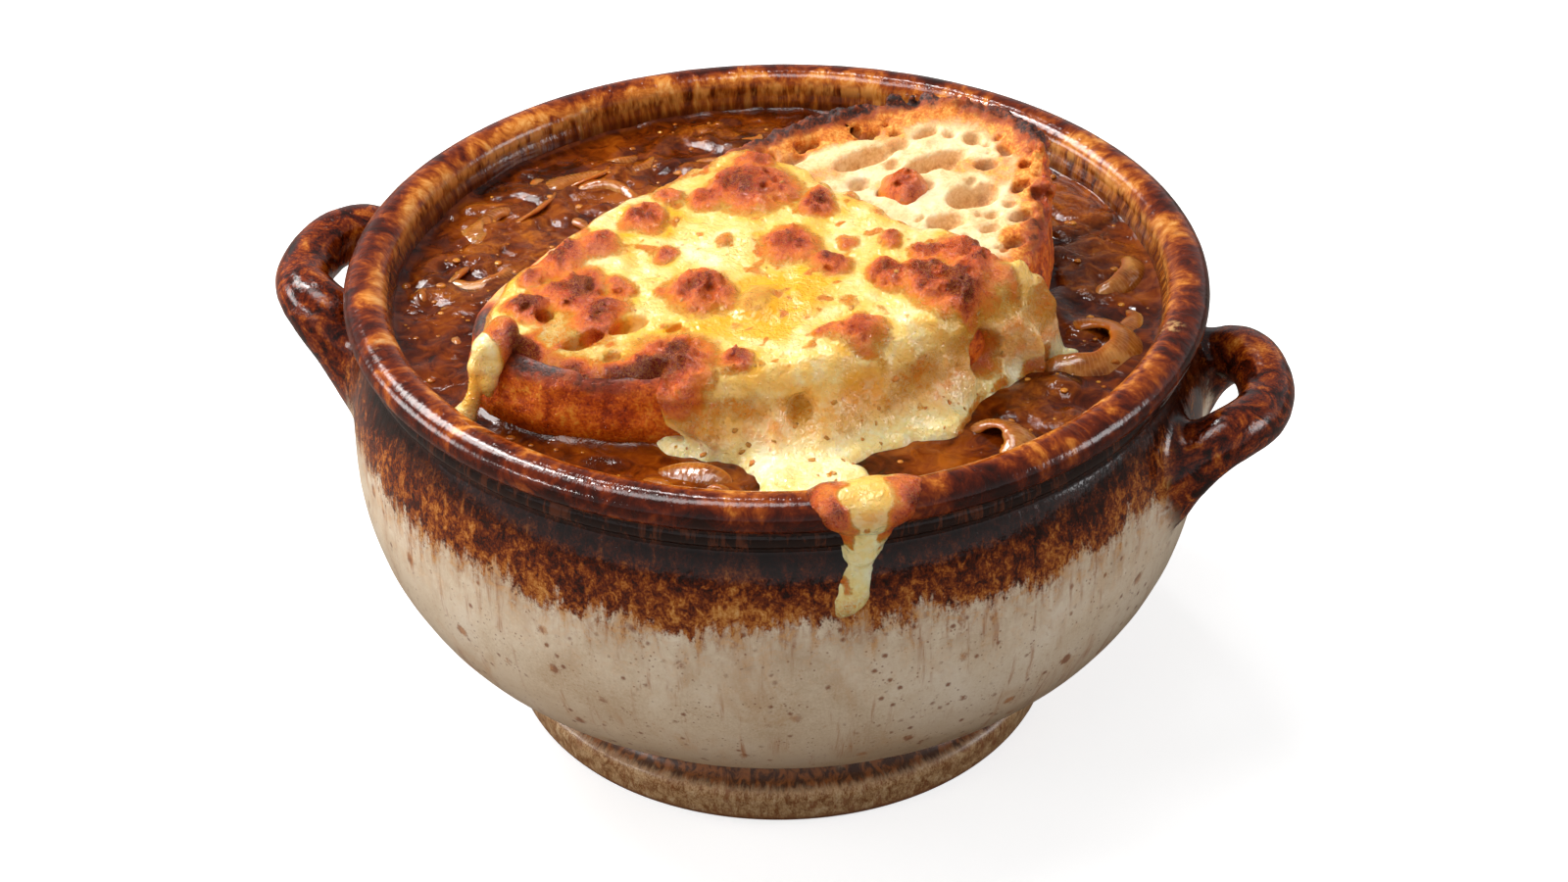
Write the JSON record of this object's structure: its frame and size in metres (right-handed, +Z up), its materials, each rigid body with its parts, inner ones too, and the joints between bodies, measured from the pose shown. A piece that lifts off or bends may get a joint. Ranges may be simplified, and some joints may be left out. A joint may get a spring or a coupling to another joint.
{
  "type": "french onion soup",
  "caption": "Round footed crock with loop handles, filled with onion soup, a toasted bread slice and melted cheese that runs over the rim.",
  "frame": {"origin": "on the bowl's axis, at the height of the foot ring's underside", "axes": "+Z up along the bowl's axis, +X through the right handle, so the two loop handles lie along X; +Y away from the side where the cheese runs over the rim"},
  "size_m": [0.1826, 0.1508, 0.1013],
  "materials": {
    "stoneware": "glazed stoneware, amber and dark brown over cream, glossy",
    "broth": "wet, glossy",
    "bread": "dry toasted crust, rough",
    "cheese": "melted, satin to glossy, browned in spots",
    "onion": "wet, translucent"
  },
  "bodies": {
    "root": {"bowl": "stoneware", "broth": "broth", "bread": "bread", "cheese": "cheese", "onion_half_ring_right": "onion", "onion_half_ring_front": "onion", "onion_petal_back_right": "onion", "onion_petal_front": "onion", "onion_petal_left": "onion", "onion_petal_back_left": "onion"}
  },
  "joints": []
}
